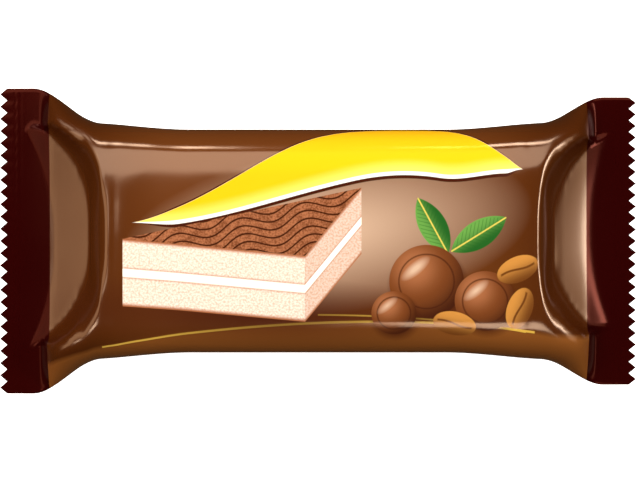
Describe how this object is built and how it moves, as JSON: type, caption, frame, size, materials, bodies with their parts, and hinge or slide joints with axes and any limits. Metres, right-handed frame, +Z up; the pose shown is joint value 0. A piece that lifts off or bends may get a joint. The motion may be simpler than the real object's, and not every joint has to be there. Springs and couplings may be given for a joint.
{
  "type": "wrapped snack cake",
  "caption": "Small two-layer chocolate snack cake shut in a glossy brown film pillow pack, with flat zigzag-cut end seals; lies flat with its printed side up.",
  "frame": {"origin": "on the ground under the middle of the pack, at the centre of its bounding box's base", "axes": "+X along the pack from one end seal to the other, +Y across it, +Z up out of the printed side"},
  "size_m": [0.15, 0.072, 0.0271],
  "materials": {
    "printed_film": "glossy printed film: chocolate brown with yellow and cream fields, darker end seals"
  },
  "bodies": {
    "root": {"cake_pack": "printed_film"}
  },
  "joints": []
}
